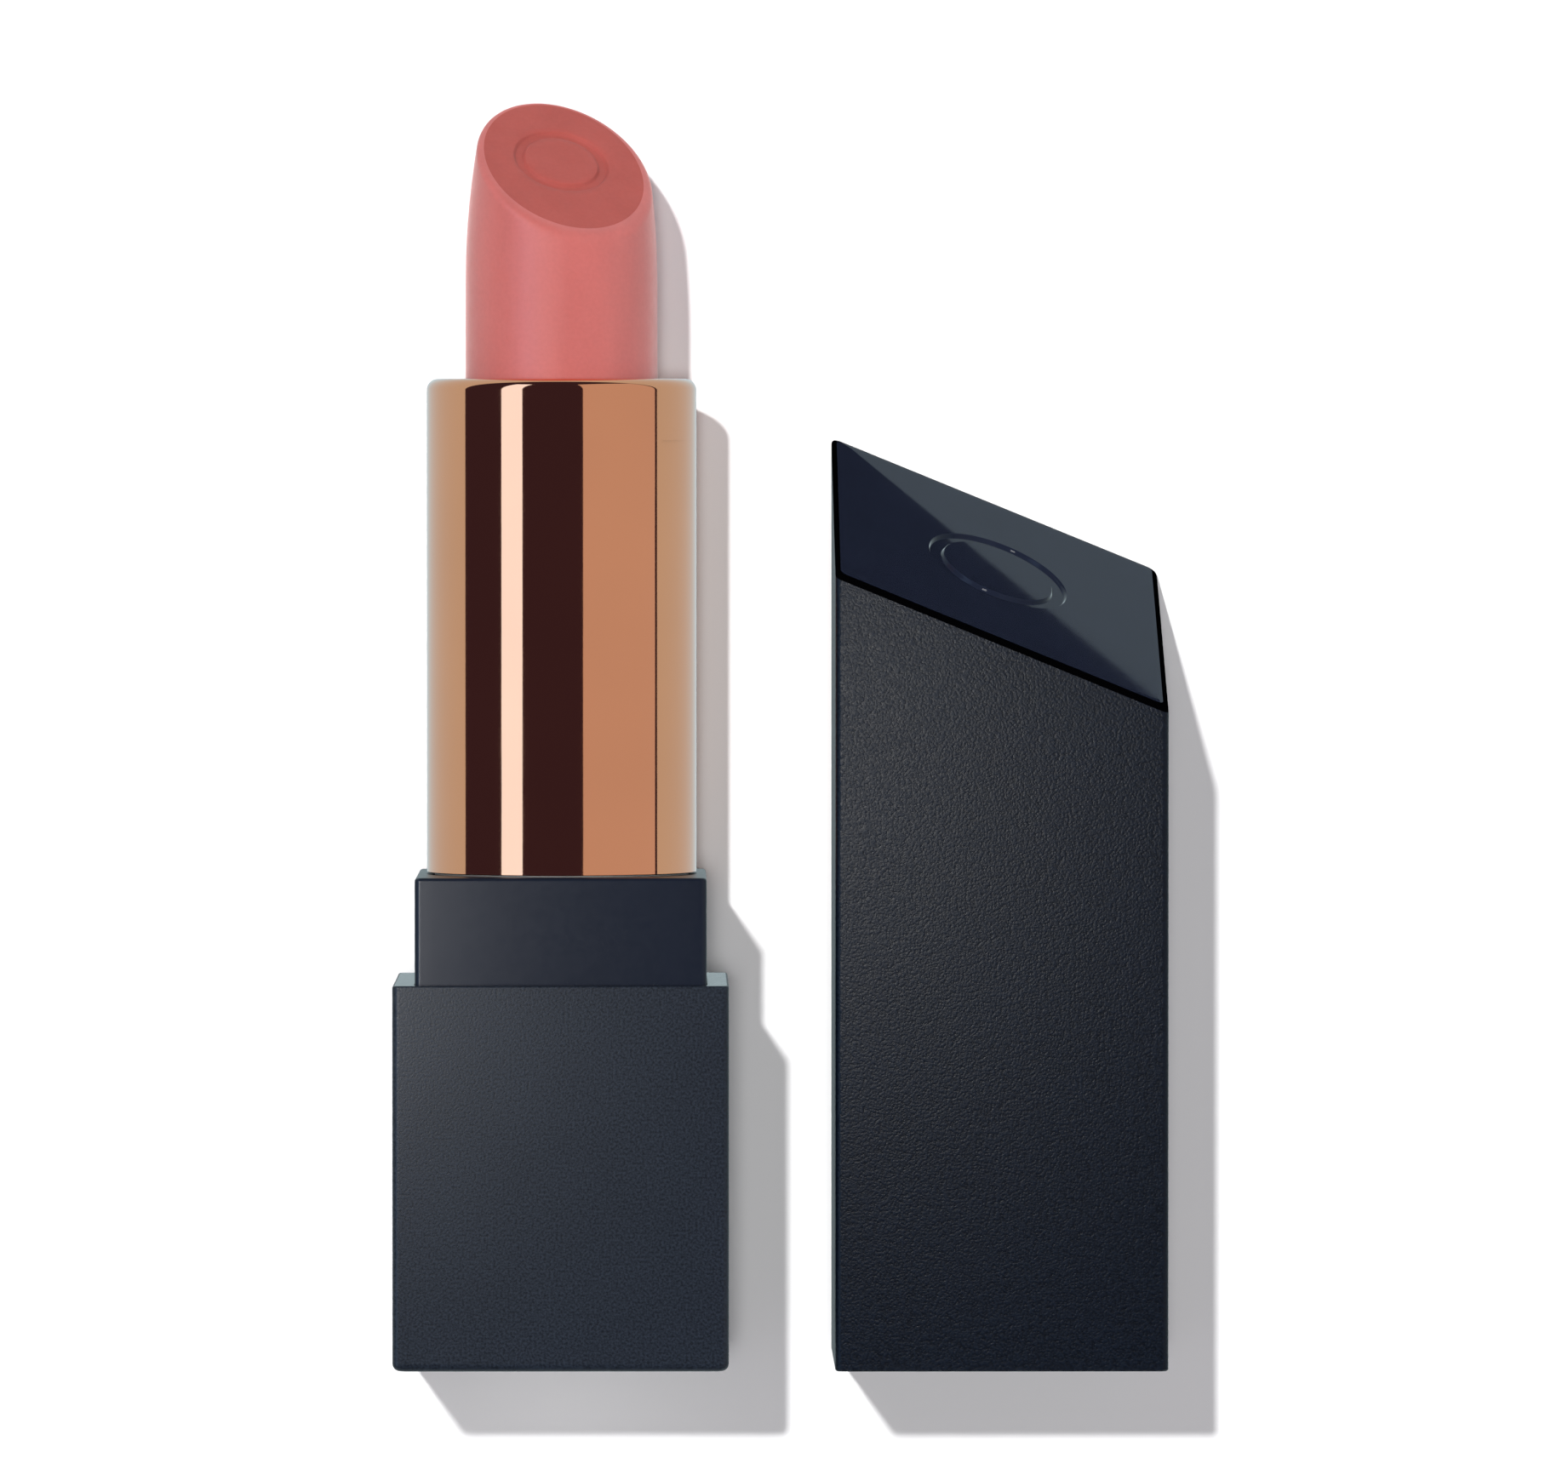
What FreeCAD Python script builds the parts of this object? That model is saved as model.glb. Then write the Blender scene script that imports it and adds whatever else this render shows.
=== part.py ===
import FreeCAD, Part
import math
import os
import re
import Sketcher

# A twist-up lipstick case, open, lying on its back with its cap beside it.
# Every piece is drawn upright: its axis is local +Z and its front is local -Y. Laying it
# down turns local +Z into row +Y and local -Y into row +Z, so the front faces up.

DIMENSIONS = {
    # base, a square cup
    "base_width": 21.0,
    "base_length": 24.1,
    "base_wall": 1.325,
    "base_floor": 1.6,
    "edge_round": 0.4,
    "foot_round": 0.5,
    # blank label in the foot
    "recess_radius": 8.2,
    "recess_depth": 0.2,
    "label_radius": 8.0,
    "label_thick": 0.12,
    # steel slug
    "slug_width": 17.9,
    "slug_height": 5.0,
    "slug_round": 1.0,
    "seat_gap": 0.05,
    # shoulder insert
    "shoulder_width": 18.25,
    "shoulder_height": 6.7,
    "shoulder_round": 0.2,
    "insert_wall": 1.2,
    "insert_core": 8.1,
    "socket_radius": 7.25,
    "socket_depth": 11.0,
    "well_radius": 8.45,
    "well_depth": 3.6,
    "core_pin_radius": 1.2,
    "core_pin_place": 6.9,
    "core_pin_reach": 19.0,
    # guide body
    "guide_outer": 7.2,
    "guide_inner": 6.65,
    "guide_floor": 1.2,
    "guide_top_gap": 1.5,
    "flange_radius": 8.3,
    "flange_thick": 1.6,
    "bead_radius": 7.65,
    "bead_height": 0.5,
    # brake ring
    "ring_section": 0.35,
    "ring_radius": 7.58,
    # spiral sleeve
    "spiral_outer": 8.0,
    "spiral_inner": 7.3,
    "spiral_clearance": 0.08,
    "groove_root": 7.7,
    "groove_height": 2.15,
    "groove_run_on": 0.35,
    "travel": 19.0,
    "turns": 1.5,
    # outer tube
    "tube_outer": 8.5,
    "tube_wall": 0.45,
    "tube_length": 31.1,
    "tube_gap": 0.1,
    "rim_opening": 6.75,
    "rim_thick": 0.5,
    "rim_round": 0.7,
    # cup and bullet
    "cup_outer": 6.55,
    "cup_inner": 6.08,
    "cup_floor": 1.2,
    "cup_height": 12.0,
    "cup_below_rim": 0.7,
    "lug_radius": 0.95,
    "lug_tip": 7.62,
    "lug_root": 6.2,
    "lug_rise": 1.4,
    "slot_clearance": 0.1,
    "bullet_radius": 6.05,
    "bullet_show": 17.7,
    "bullet_straight": 6.0,
    "bullet_bow": 52.5,
    "bullet_face_height": 13.75,
    "bullet_face_tilt": 39.0,
    "bullet_face_turn": 19.1,
    "bullet_edge": 0.3,
    # cap
    "cap_width": 20.8,
    "cap_height": 49.9,
    "cap_tilt": 30.0,
    "cap_turn": 45.0,
    "cap_wall": 0.65,
    "cap_roof": 1.6,
    "cap_chamfer": 0.28,
    "cap_offset": 27.55,
    "liner_width": 19.4,
    "liner_mouth": 18.36,
    "liner_mouth_depth": 7.3,
    "liner_inset": 0.3,
    "liner_bore": 8.8,
    "liner_depth": 38.4,
    "liner_roof": 0.8,
    "liner_pin_radius": 1.3,
    "liner_pin_place": 7.6,
    "liner_pin_depth": 30.0,
    # plain ring pressed into the cap's top and the bullet's face
    "cap_ring_outer": 4.6,
    "cap_ring_inner": 3.7,
    "cap_ring_depth": 0.3,
    "bullet_ring_outer": 3.0,
    "bullet_ring_inner": 2.4,
    "bullet_ring_depth": 0.25,
}

# Lengths worked out from the dimensions above, and put in full wherever an expression names them.
FORMULAS = {
    "shoulder_top": "base_length + shoulder_height",
    "slug_bottom": "base_floor + seat_gap",
    "insert_bottom": "slug_bottom + slug_height + seat_gap",
    "well_floor": "shoulder_top - well_depth",
    "socket_floor": "well_floor - socket_depth",
    "tube_bottom": "shoulder_top + tube_gap",
    "rim_top": "tube_bottom + tube_length",
    "flange_top": "well_floor + flange_thick",
    "guide_top": "rim_top - guide_top_gap",
    "spiral_bottom": "flange_top + 2 * ring_section + spiral_clearance",
    "spiral_top": "guide_top - bead_height - spiral_clearance",
    "spiral_lead": "travel / turns",
    "groove_start_angle": "0 - 360 * groove_run_on / spiral_lead",
    "cup_top": "rim_top - cup_below_rim",
    "cup_bottom": "cup_top - cup_height",
    "lug_height": "cup_bottom + lug_rise",
    "bullet_bottom": "cup_bottom + cup_floor + seat_gap",
    "bullet_tip": "rim_top + bullet_show",
    "cap_roof_height": "cap_height - cap_roof / cos(cap_tilt * 1 deg)",
    "cap_blank": "cap_height + cap_width / 2",
    "bow_start": "rim_top + bullet_straight",
    "bow_rise": "bullet_tip + seat_gap - bow_start",
    "tip_radius": "bullet_radius - bullet_bow + sqrt(bullet_bow * bullet_bow - bow_rise * bow_rise)",
}

ORIGIN = FreeCAD.Vector(0, 0, 0)
LAID_DOWN = FreeCAD.Rotation(FreeCAD.Vector(1, 0, 0), -90)
UP_TO_FACE = 3
THROUGH_ALL = 1
SPIRAL_STARTS = 2
# How close two lengths in millimetres are when they count as the same, and the least rise of a
# direction that counts as upright or, for a flat face, the range of a slanted one.
SAME = 1e-4
UPRIGHT = 0.999
SLANTED = (0.1, 0.99)

document = FreeCAD.newDocument("LipstickCase")
sheet = document.addObject("Spreadsheet::Sheet", "Sizes")
row = 1
for name, value in DIMENSIONS.items():
    sheet.set("A%d" % row, name)
    sheet.set("B%d" % row, str(value))
    sheet.setAlias("B%d" % row, name)
    row += 1
gauge = document.addObject("App::FeaturePython", "Gauge")
gauge.addProperty("App::PropertyFloat", "Reading")
document.recompute()


def bound(expression):
    """An expression over the dimensions and formulas, written for setExpression."""
    def link(word):
        name = word.group()
        if name in DIMENSIONS:
            return "Sizes." + name
        if name in FORMULAS:
            return "(" + bound(FORMULAS[name]) + ")"
        return name
    return re.sub("[a-z_]+", link, expression)


def number(expression):
    """The value of such an expression, read off a gauge object bound to it."""
    gauge.setExpression("Reading", bound(expression))
    gauge.recompute()
    return gauge.Reading


def new_body(label):
    body = document.addObject("PartDesign::Body", label)
    body.Label = label
    return body


def plane_of(body, role):
    for feature in body.Origin.OriginFeatures:
        if feature.Role == role:
            return feature
    raise ValueError("no plane " + role)


def new_sketch(body, name, role="XY_Plane", height=None):
    """A sketch on one of the body's own planes, raised by an expression."""
    sketch = body.newObject("Sketcher::SketchObject", name)
    sketch.AttachmentSupport = [(plane_of(body, role), "")]
    sketch.MapMode = "FlatFace"
    if height is not None:
        sketch.setExpression("AttachmentOffset.Base.z", bound(height))
    return sketch


def add_square(sketch, width):
    """A square centred on the sketch's origin."""
    half = number(width) / 2
    corners = [(-half, -half), (half, -half), (half, half), (-half, half)]
    first = sketch.GeometryCount
    for index in range(4):
        x_from, y_from = corners[index]
        x_to, y_to = corners[(index + 1) % 4]
        start = FreeCAD.Vector(x_from, y_from, 0)
        end = FreeCAD.Vector(x_to, y_to, 0)
        sketch.addGeometry(Part.LineSegment(start, end), False)
    for index in range(4):
        following = first + (index + 1) % 4
        sketch.addConstraint(Sketcher.Constraint("Coincident", first + index, 2, following, 1))
    for index in (0, 2):
        sketch.addConstraint(Sketcher.Constraint("Horizontal", first + index))
        sketch.addConstraint(Sketcher.Constraint("Vertical", first + index + 1))
    sketch.addConstraint(Sketcher.Constraint("Symmetric", first, 1, first + 2, 1, -1, 1))
    sketch.addConstraint(Sketcher.Constraint("Equal", first, first + 1))
    added = sketch.addConstraint(Sketcher.Constraint("DistanceX", first, 1, first, 2, 2 * half))
    sketch.setExpression("Constraints[%d]" % added, bound(width))


def add_circle(sketch, radius, x="0", y="0"):
    """A circle whose radius and centre come from the sheet."""
    centre = FreeCAD.Vector(number(x), number(y), 0)
    index = sketch.addGeometry(Part.Circle(centre, FreeCAD.Vector(0, 0, 1), number(radius)), False)
    added = sketch.addConstraint(Sketcher.Constraint("Radius", index, number(radius)))
    sketch.setExpression("Constraints[%d]" % added, bound(radius))
    if x == "0" and y == "0":
        sketch.addConstraint(Sketcher.Constraint("Coincident", index, 3, -1, 1))
    else:
        pin_point(sketch, index, 3, x, y)


def pin_point(sketch, index, point, x, y):
    """Holds one point of a sketch at a place given by two expressions."""
    for kind, place, axis in (("DistanceX", x, -2), ("DistanceY", y, -1)):
        if place == "0":
            sketch.addConstraint(Sketcher.Constraint("PointOnObject", index, point, axis))
        else:
            rule = Sketcher.Constraint(kind, -1, 1, index, point, number(place))
            added = sketch.addConstraint(rule)
            sketch.setExpression("Constraints[%d]" % added, bound(place))


def arc_between(start, end, radius):
    """An arc that leaves start straight up and bows in to end."""
    centre = start - FreeCAD.Vector(radius, 0, 0)
    reach = end - centre
    circle = Part.Circle(centre, FreeCAD.Vector(0, 0, 1), radius)
    return Part.ArcOfCircle(circle, 0, math.atan2(reach.y, reach.x))


def add_outline(sketch, points, bows=None):
    """A closed outline through points, each a pair of expressions.

    bows gives a radius for each side that is an arc, by the number of the point it leaves.
    """
    bows = bows or {}
    places = [FreeCAD.Vector(number(x), number(y), 0) for x, y in points]
    count = len(points)
    first = sketch.GeometryCount
    for index in range(count):
        start = places[index]
        end = places[(index + 1) % count]
        if index in bows:
            sketch.addGeometry(arc_between(start, end, number(bows[index])), False)
        else:
            sketch.addGeometry(Part.LineSegment(start, end), False)
    for index in range(count):
        following = first + (index + 1) % count
        sketch.addConstraint(Sketcher.Constraint("Coincident", first + index, 2, following, 1))
    for index, (x, y) in enumerate(points):
        pin_point(sketch, first + index, 1, x, y)
    for index, radius in bows.items():
        rule = Sketcher.Constraint("Radius", first + index, number(radius))
        added = sketch.addConstraint(rule)
        sketch.setExpression("Constraints[%d]" % added, bound(radius))


def pad(body, sketch, length, name):
    feature = body.newObject("PartDesign::Pad", name)
    feature.Profile = sketch
    feature.setExpression("Length", bound(length))
    document.recompute()
    return feature


def pocket(body, sketch, length, name, upward=False):
    """Cuts down from the sketch, or up from it. Stops the build if it removes nothing."""
    before = body.Shape.Volume
    feature = body.newObject("PartDesign::Pocket", name)
    feature.Profile = sketch
    feature.Reversed = upward
    if length is None:
        feature.Type = THROUGH_ALL
    else:
        feature.setExpression("Length", bound(length))
    document.recompute()
    if body.Shape.Volume >= before:
        raise ValueError(name + " cuts nothing")
    return feature


def turned_body(label, points, bows=None):
    """A body of revolution about local Z from an outline of (radius, height) pairs."""
    body = new_body(label)
    sketch = new_sketch(body, label + "_profile", "XZ_Plane")
    add_outline(sketch, points, bows)
    feature = body.newObject("PartDesign::Revolution", label + "_turned")
    feature.Profile = sketch
    feature.ReferenceAxis = (plane_of(body, "Z_Axis"), [""])
    feature.Angle = 360.0
    document.recompute()
    return body


def edges_where(shape, wanted):
    """Names of the edges of a shape that the test accepts."""
    return ["Edge%d" % (index + 1) for index, edge in enumerate(shape.Edges) if wanted(edge)]


def is_upright(edge):
    if not isinstance(edge.Curve, Part.Line):
        return False
    return abs(edge.Curve.Direction.z) > UPRIGHT


def lies_at(height):
    """Accepts the edges that lie level at a height."""
    level = number(height)

    def test(edge):
        box = edge.BoundBox
        return abs(box.ZMin - level) < SAME and abs(box.ZMax - level) < SAME
    return test


def circle_at(height, radius):
    """Accepts the circle of this radius that lies level at a height."""
    reach = number(radius)
    level = lies_at(height)

    def test(edge):
        return level(edge) and abs(edge.Curve.Radius - reach) < SAME
    return test


def dress(body, kind, wanted, value, name):
    """Adds a Fillet or a Chamfer to the edges of the body's tip that the test accepts."""
    base = body.Tip
    chosen = edges_where(base.Shape, wanted)
    if not chosen:
        raise ValueError(name + " finds no edge")
    feature = body.newObject("PartDesign::" + kind, name)
    feature.Base = (base, chosen)
    feature.setExpression("Radius" if kind == "Fillet" else "Size", bound(value))
    document.recompute()
    return feature


def round_slant(body):
    """Accepts the edges of the body's slanted face, the flat one that is neither level nor upright."""
    for face in body.Tip.Shape.Faces:
        rise = face.normalAt(0, 0).z
        if isinstance(face.Surface, Part.Plane) and SLANTED[0] < rise < SLANTED[1]:
            return lambda edge: any(edge.isSame(side) for side in face.Edges)
    raise ValueError(body.Label + " has no slanted face")


def square_body(label, width, bottom, height, corner):
    """A square prism with rounded upright edges."""
    body = new_body(label)
    sketch = new_sketch(body, label + "_plan", height=bottom)
    add_square(sketch, width)
    pad(body, sketch, height, label + "_block")
    dress(body, "Fillet", is_upright, corner, label + "_corners")
    return body


def slant_plane(body, name, tilt, turn, height):
    """A plane tilted about a level line; turn is where it faces, from the front toward +X."""
    plane = body.newObject("PartDesign::Plane", name)
    plane.AttachmentSupport = [(plane_of(body, "XY_Plane"), "")]
    plane.MapMode = "FlatFace"
    around = FreeCAD.Rotation(FreeCAD.Vector(0, 0, 1), number(turn))
    lean = FreeCAD.Rotation(FreeCAD.Vector(1, 0, 0), number(tilt))
    plane.AttachmentOffset = FreeCAD.Placement(ORIGIN, around.multiply(lean))
    plane.setExpression("AttachmentOffset.Base.z", bound(height))
    document.recompute()
    return plane


def sketch_on(body, plane, name):
    sketch = body.newObject("Sketcher::SketchObject", name)
    sketch.AttachmentSupport = [(plane, "")]
    sketch.MapMode = "FlatFace"
    return sketch


def press_ring(body, plane, outer, inner, depth, name):
    """A shallow plain ring pressed into a slanted face."""
    sketch = sketch_on(body, plane, name + "_plan")
    add_circle(sketch, outer)
    add_circle(sketch, inner)
    pocket(body, sketch, depth, name)


def core_pins(body, name, height, place, radius, depth, upward):
    """Four round holes, one in each corner of a square moulding, that keep its walls thin."""
    sketch = new_sketch(body, name + "_plan", height=height)
    for x_sign in ("", "- "):
        for y_sign in ("", "- "):
            add_circle(sketch, radius, x_sign + place, y_sign + place)
    pocket(body, sketch, depth, name, upward)


# Base: shell, label, slug
base_shell = square_body("base_shell", "base_width", "0", "base_length", "edge_round")
dress(base_shell, "Fillet", lies_at("0"), "foot_round", "base_foot_edge")
cavity = new_sketch(base_shell, "base_cavity_plan", height="base_length")
add_square(cavity, "base_width - 2 * base_wall")
pocket(base_shell, cavity, "base_length - base_floor", "base_cavity")
recess = new_sketch(base_shell, "label_recess_plan")
add_circle(recess, "recess_radius")
pocket(base_shell, recess, "recess_depth", "label_recess", upward=True)

shade_label = document.addObject("Part::Cylinder", "shade_label")
shade_label.Label = "shade_label"
shade_label.setExpression("Radius", bound("label_radius"))
shade_label.setExpression("Height", bound("label_thick"))

base_weight = square_body("base_weight", "slug_width", "slug_bottom", "slug_height", "slug_round")

# Shoulder insert: square outside, a hollow foot, a socket and a round well
shoulder_insert = square_body(
    "shoulder_insert", "shoulder_width", "insert_bottom", "shoulder_top - insert_bottom", "edge_round"
)
dress(shoulder_insert, "Fillet", lies_at("shoulder_top"), "shoulder_round", "shoulder_edge")
foot = new_sketch(shoulder_insert, "insert_foot_plan", height="insert_bottom")
add_square(foot, "shoulder_width - 2 * insert_wall")
pocket(shoulder_insert, foot, "insert_core", "insert_foot", upward=True)
socket = new_sketch(shoulder_insert, "insert_socket_plan", height="shoulder_top")
add_circle(socket, "socket_radius")
pocket(shoulder_insert, socket, "well_depth + socket_depth", "insert_socket")
well = new_sketch(shoulder_insert, "insert_well_plan", height="shoulder_top")
add_circle(well, "well_radius")
pocket(shoulder_insert, well, "well_depth", "insert_well")
core_pins(
    shoulder_insert, "insert_core_pins", "insert_bottom", "core_pin_place", "core_pin_radius",
    "core_pin_reach", upward=True
)

# Guide body: a closed foot, a flange, a thin wall with two straight slots and a bead on top
guide_body = turned_body("guide_body", [
    ("0", "socket_floor + seat_gap"),
    ("guide_outer", "socket_floor + seat_gap"),
    ("guide_outer", "well_floor"),
    ("flange_radius", "well_floor"),
    ("flange_radius", "flange_top"),
    ("guide_outer", "flange_top"),
    ("guide_outer", "guide_top - bead_height"),
    ("bead_radius", "guide_top - bead_height"),
    ("guide_outer", "guide_top"),
    ("guide_inner", "guide_top"),
    ("guide_inner", "socket_floor + seat_gap + guide_floor"),
    ("0", "socket_floor + seat_gap + guide_floor"),
])
slots = new_sketch(guide_body, "guide_slots_plan", "YZ_Plane")
slot_half = "( lug_radius + slot_clearance / 2 )"
slot_low = "lug_height - travel - lug_radius - slot_clearance"
slot_high = "lug_height + lug_radius + slot_clearance"
add_outline(slots, [
    ("- " + slot_half, slot_low),
    (slot_half, slot_low),
    (slot_half, slot_high),
    ("- " + slot_half, slot_high),
])
guide_slots = guide_body.newObject("PartDesign::Pocket", "guide_slots")
guide_slots.Profile = slots
guide_slots.Type = THROUGH_ALL
guide_slots.Midplane = True
document.recompute()

brake_ring = document.addObject("Part::Torus", "brake_ring")
brake_ring.Label = "brake_ring"
brake_ring.setExpression("Radius1", bound("ring_radius"))
brake_ring.setExpression("Radius2", bound("ring_section"))

# Turning pieces: outer tube and spiral sleeve
outer_tube = turned_body("outer_tube", [
    ("tube_outer - tube_wall", "tube_bottom"),
    ("tube_outer", "tube_bottom"),
    ("tube_outer", "rim_top"),
    ("rim_opening", "rim_top"),
    ("rim_opening", "rim_top - rim_thick"),
    ("tube_outer - tube_wall", "rim_top - rim_thick"),
])
dress(outer_tube, "Fillet", circle_at("rim_top", "tube_outer"), "rim_round", "tube_rim")

spiral_sleeve = turned_body("spiral_sleeve", [
    ("spiral_inner", "spiral_bottom"),
    ("spiral_outer", "spiral_bottom"),
    ("spiral_outer", "spiral_top"),
    ("spiral_inner", "spiral_top"),
])
groove_profile = new_sketch(spiral_sleeve, "groove_profile", "XZ_Plane")
upright_axis = FreeCAD.Vector(0, 1, 0)
groove_profile.AttachmentOffset = FreeCAD.Placement(ORIGIN, FreeCAD.Rotation(upright_axis, 1))
groove_profile.setExpression("AttachmentOffset.Rotation.Angle", bound("groove_start_angle"))
groove_start = "lug_height - travel - groove_run_on"
add_outline(groove_profile, [
    ("guide_outer", groove_start + " - groove_height / 2"),
    ("groove_root", groove_start + " - groove_height / 2"),
    ("groove_root", groove_start + " + groove_height / 2"),
    ("guide_outer", groove_start + " + groove_height / 2"),
])
groove = spiral_sleeve.newObject("PartDesign::SubtractiveHelix", "spiral_groove")
groove.Profile = groove_profile
groove.ReferenceAxis = (plane_of(spiral_sleeve, "Z_Axis"), [""])
groove.Mode = 0
groove.setExpression("Pitch", bound("spiral_lead"))
groove.setExpression("Height", bound("travel + 2 * groove_run_on"))
document.recompute()
second_start = spiral_sleeve.newObject("PartDesign::PolarPattern", "second_start")
second_start.Originals = [groove]
second_start.Axis = (plane_of(spiral_sleeve, "Z_Axis"), [""])
second_start.Angle = 360.0
second_start.Occurrences = SPIRAL_STARTS
spiral_sleeve.Tip = second_start
document.recompute()

# Sliding pieces: cup with two lugs, and the bullet
bullet_cup = turned_body("bullet_cup", [
    ("0", "cup_bottom"),
    ("cup_outer", "cup_bottom"),
    ("cup_outer", "cup_top"),
    ("cup_inner", "cup_top"),
    ("cup_inner", "cup_bottom + cup_floor"),
    ("0", "cup_bottom + cup_floor"),
])
for side, sign in (("right", ""), ("left", "- ")):
    lug_sketch = new_sketch(bullet_cup, side + "_lug_plan", "YZ_Plane", sign + "lug_root")
    add_circle(lug_sketch, "lug_radius", "0", "lug_height")
    lug = pad(bullet_cup, lug_sketch, "lug_tip - lug_root", side + "_lug")
    lug.Reversed = side == "left"
    document.recompute()

bullet = turned_body(
    "bullet",
    [
        ("0", "bullet_bottom"),
        ("bullet_radius", "bullet_bottom"),
        ("bullet_radius", "bow_start"),
        ("tip_radius", "bullet_tip + seat_gap"),
        ("0", "bullet_tip + seat_gap"),
    ],
    bows={2: "bullet_bow"}
)
bullet_face = slant_plane(
    bullet, "bullet_face", "bullet_face_tilt", "bullet_face_turn", "rim_top + bullet_face_height"
)
bullet_trim = sketch_on(bullet, bullet_face, "bullet_trim_plan")
add_circle(bullet_trim, "2 * bullet_radius")
pocket(bullet, bullet_trim, None, "bullet_trim", upward=True)
dress(bullet, "Fillet", round_slant(bullet), "bullet_edge", "bullet_edge_round")
press_ring(
    bullet, bullet_face, "bullet_ring_outer", "bullet_ring_inner", "bullet_ring_depth", "bullet_ring"
)

# Cap: slanted shell and the liner inside it
cap_shell = square_body("cap_shell", "cap_width", "0", "cap_blank", "edge_round")
cap_face = slant_plane(cap_shell, "cap_face", "cap_tilt", "cap_turn", "cap_height")
cap_trim = sketch_on(cap_shell, cap_face, "cap_trim_plan")
add_circle(cap_trim, "cap_width")
pocket(cap_shell, cap_trim, None, "cap_trim", upward=True)
dress(cap_shell, "Chamfer", round_slant(cap_shell), "cap_chamfer", "cap_edge")
roof_plane = slant_plane(cap_shell, "roof_plane", "cap_tilt", "cap_turn", "cap_roof_height")
cap_cavity = new_sketch(cap_shell, "cap_cavity_plan")
add_square(cap_cavity, "cap_width - 2 * cap_wall")
hollow = cap_shell.newObject("PartDesign::Pocket", "cap_cavity")
hollow.Profile = cap_cavity
hollow.Reversed = True
hollow.Type = UP_TO_FACE
hollow.UpToFace = (roof_plane, [""])
document.recompute()
press_ring(cap_shell, cap_face, "cap_ring_outer", "cap_ring_inner", "cap_ring_depth", "cap_ring")

cap_liner = square_body(
    "cap_liner", "liner_width", "liner_inset", "liner_depth + liner_roof - liner_inset", "edge_round"
)
mouth = new_sketch(cap_liner, "liner_mouth_plan", height="liner_inset")
add_square(mouth, "liner_mouth")
pocket(cap_liner, mouth, "liner_mouth_depth - liner_inset", "liner_mouth_pocket", upward=True)
bore = new_sketch(cap_liner, "liner_bore_plan", height="liner_inset")
add_circle(bore, "liner_bore")
pocket(cap_liner, bore, "liner_depth - liner_inset", "liner_bore_pocket", upward=True)
core_pins(
    cap_liner, "liner_core_pins", "liner_depth + liner_roof", "liner_pin_place", "liner_pin_radius",
    "liner_pin_depth", upward=False
)

# Laying down: the row's origin is the middle of the base's flat back
case_pieces = [
    base_shell, shade_label, base_weight, shoulder_insert, guide_body, brake_ring,
    outer_tube, spiral_sleeve, bullet_cup, bullet,
]
cap_pieces = [cap_shell, cap_liner]
local_heights = {
    "shade_label": "recess_depth - label_thick",
    "brake_ring": "flange_top + ring_section",
}
for piece in case_pieces:
    piece.Placement = FreeCAD.Placement(ORIGIN, LAID_DOWN)
    start = local_heights.get(piece.Label, "0")
    piece.setExpression(".Placement.Base.y", bound(start + " - base_length / 2"))
    piece.setExpression(".Placement.Base.z", bound("base_width / 2"))
for piece in cap_pieces:
    piece.Placement = FreeCAD.Placement(ORIGIN, LAID_DOWN)
    piece.setExpression(".Placement.Base.x", bound("cap_offset"))
    piece.setExpression(".Placement.Base.y", bound("0 - base_length / 2"))
    piece.setExpression(".Placement.Base.z", bound("cap_width / 2"))

document.recompute()
for item in document.Objects:
    if "Invalid" in item.State or "Error" in item.State:
        raise ValueError("%s is %s" % (item.Name, item.State))
for piece in case_pieces + cap_pieces:
    if piece.Shape.isNull() or not piece.Shape.isValid():
        raise ValueError(piece.Label + " has no valid shape")
    if len(piece.Shape.Solids) != 1:
        raise ValueError("%s has %d solids" % (piece.Label, len(piece.Shape.Solids)))

os.makedirs("parts", exist_ok=True)
for piece in case_pieces + cap_pieces:
    piece.Shape.exportStep("parts/%s.step" % piece.Label)
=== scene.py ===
import math

import bmesh
import bpy
from mathutils import Matrix, Vector


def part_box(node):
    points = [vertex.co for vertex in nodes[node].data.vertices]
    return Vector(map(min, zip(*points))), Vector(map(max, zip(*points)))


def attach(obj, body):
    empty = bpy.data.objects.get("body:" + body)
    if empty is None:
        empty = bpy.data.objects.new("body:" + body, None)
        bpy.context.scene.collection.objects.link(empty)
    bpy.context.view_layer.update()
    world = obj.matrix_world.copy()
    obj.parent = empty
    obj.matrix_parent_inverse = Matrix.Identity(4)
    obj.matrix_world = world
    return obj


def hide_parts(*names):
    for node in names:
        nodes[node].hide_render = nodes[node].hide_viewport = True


# An open lipstick case lying on its back on a white table, with its cap beside it.
# Frame, in metres: +Y runs from the foot to the bullet, +Z is up, out of the front face.
# Points are written (across, front, along), which are X, Z and Y measured from a piece's origin.

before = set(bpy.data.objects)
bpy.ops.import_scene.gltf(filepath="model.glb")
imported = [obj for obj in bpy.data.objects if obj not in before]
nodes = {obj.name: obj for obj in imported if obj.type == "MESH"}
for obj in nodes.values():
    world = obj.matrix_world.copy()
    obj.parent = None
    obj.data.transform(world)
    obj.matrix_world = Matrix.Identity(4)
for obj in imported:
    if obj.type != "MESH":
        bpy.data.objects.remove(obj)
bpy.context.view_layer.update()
MM = 0.001
MICRON = MM / 1000

# base
BASE_CORNER = 0.4 * MM
BASE_INSIDE = 9.175 * MM
BASE_FLOOR = 1.6 * MM
BASE_FOOT_ROUND = 0.5 * MM
BASE_RIM_ROUND = 0.12 * MM
RECESS_RADIUS = 8.2 * MM
RECESS_DEPTH = 0.2 * MM

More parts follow.
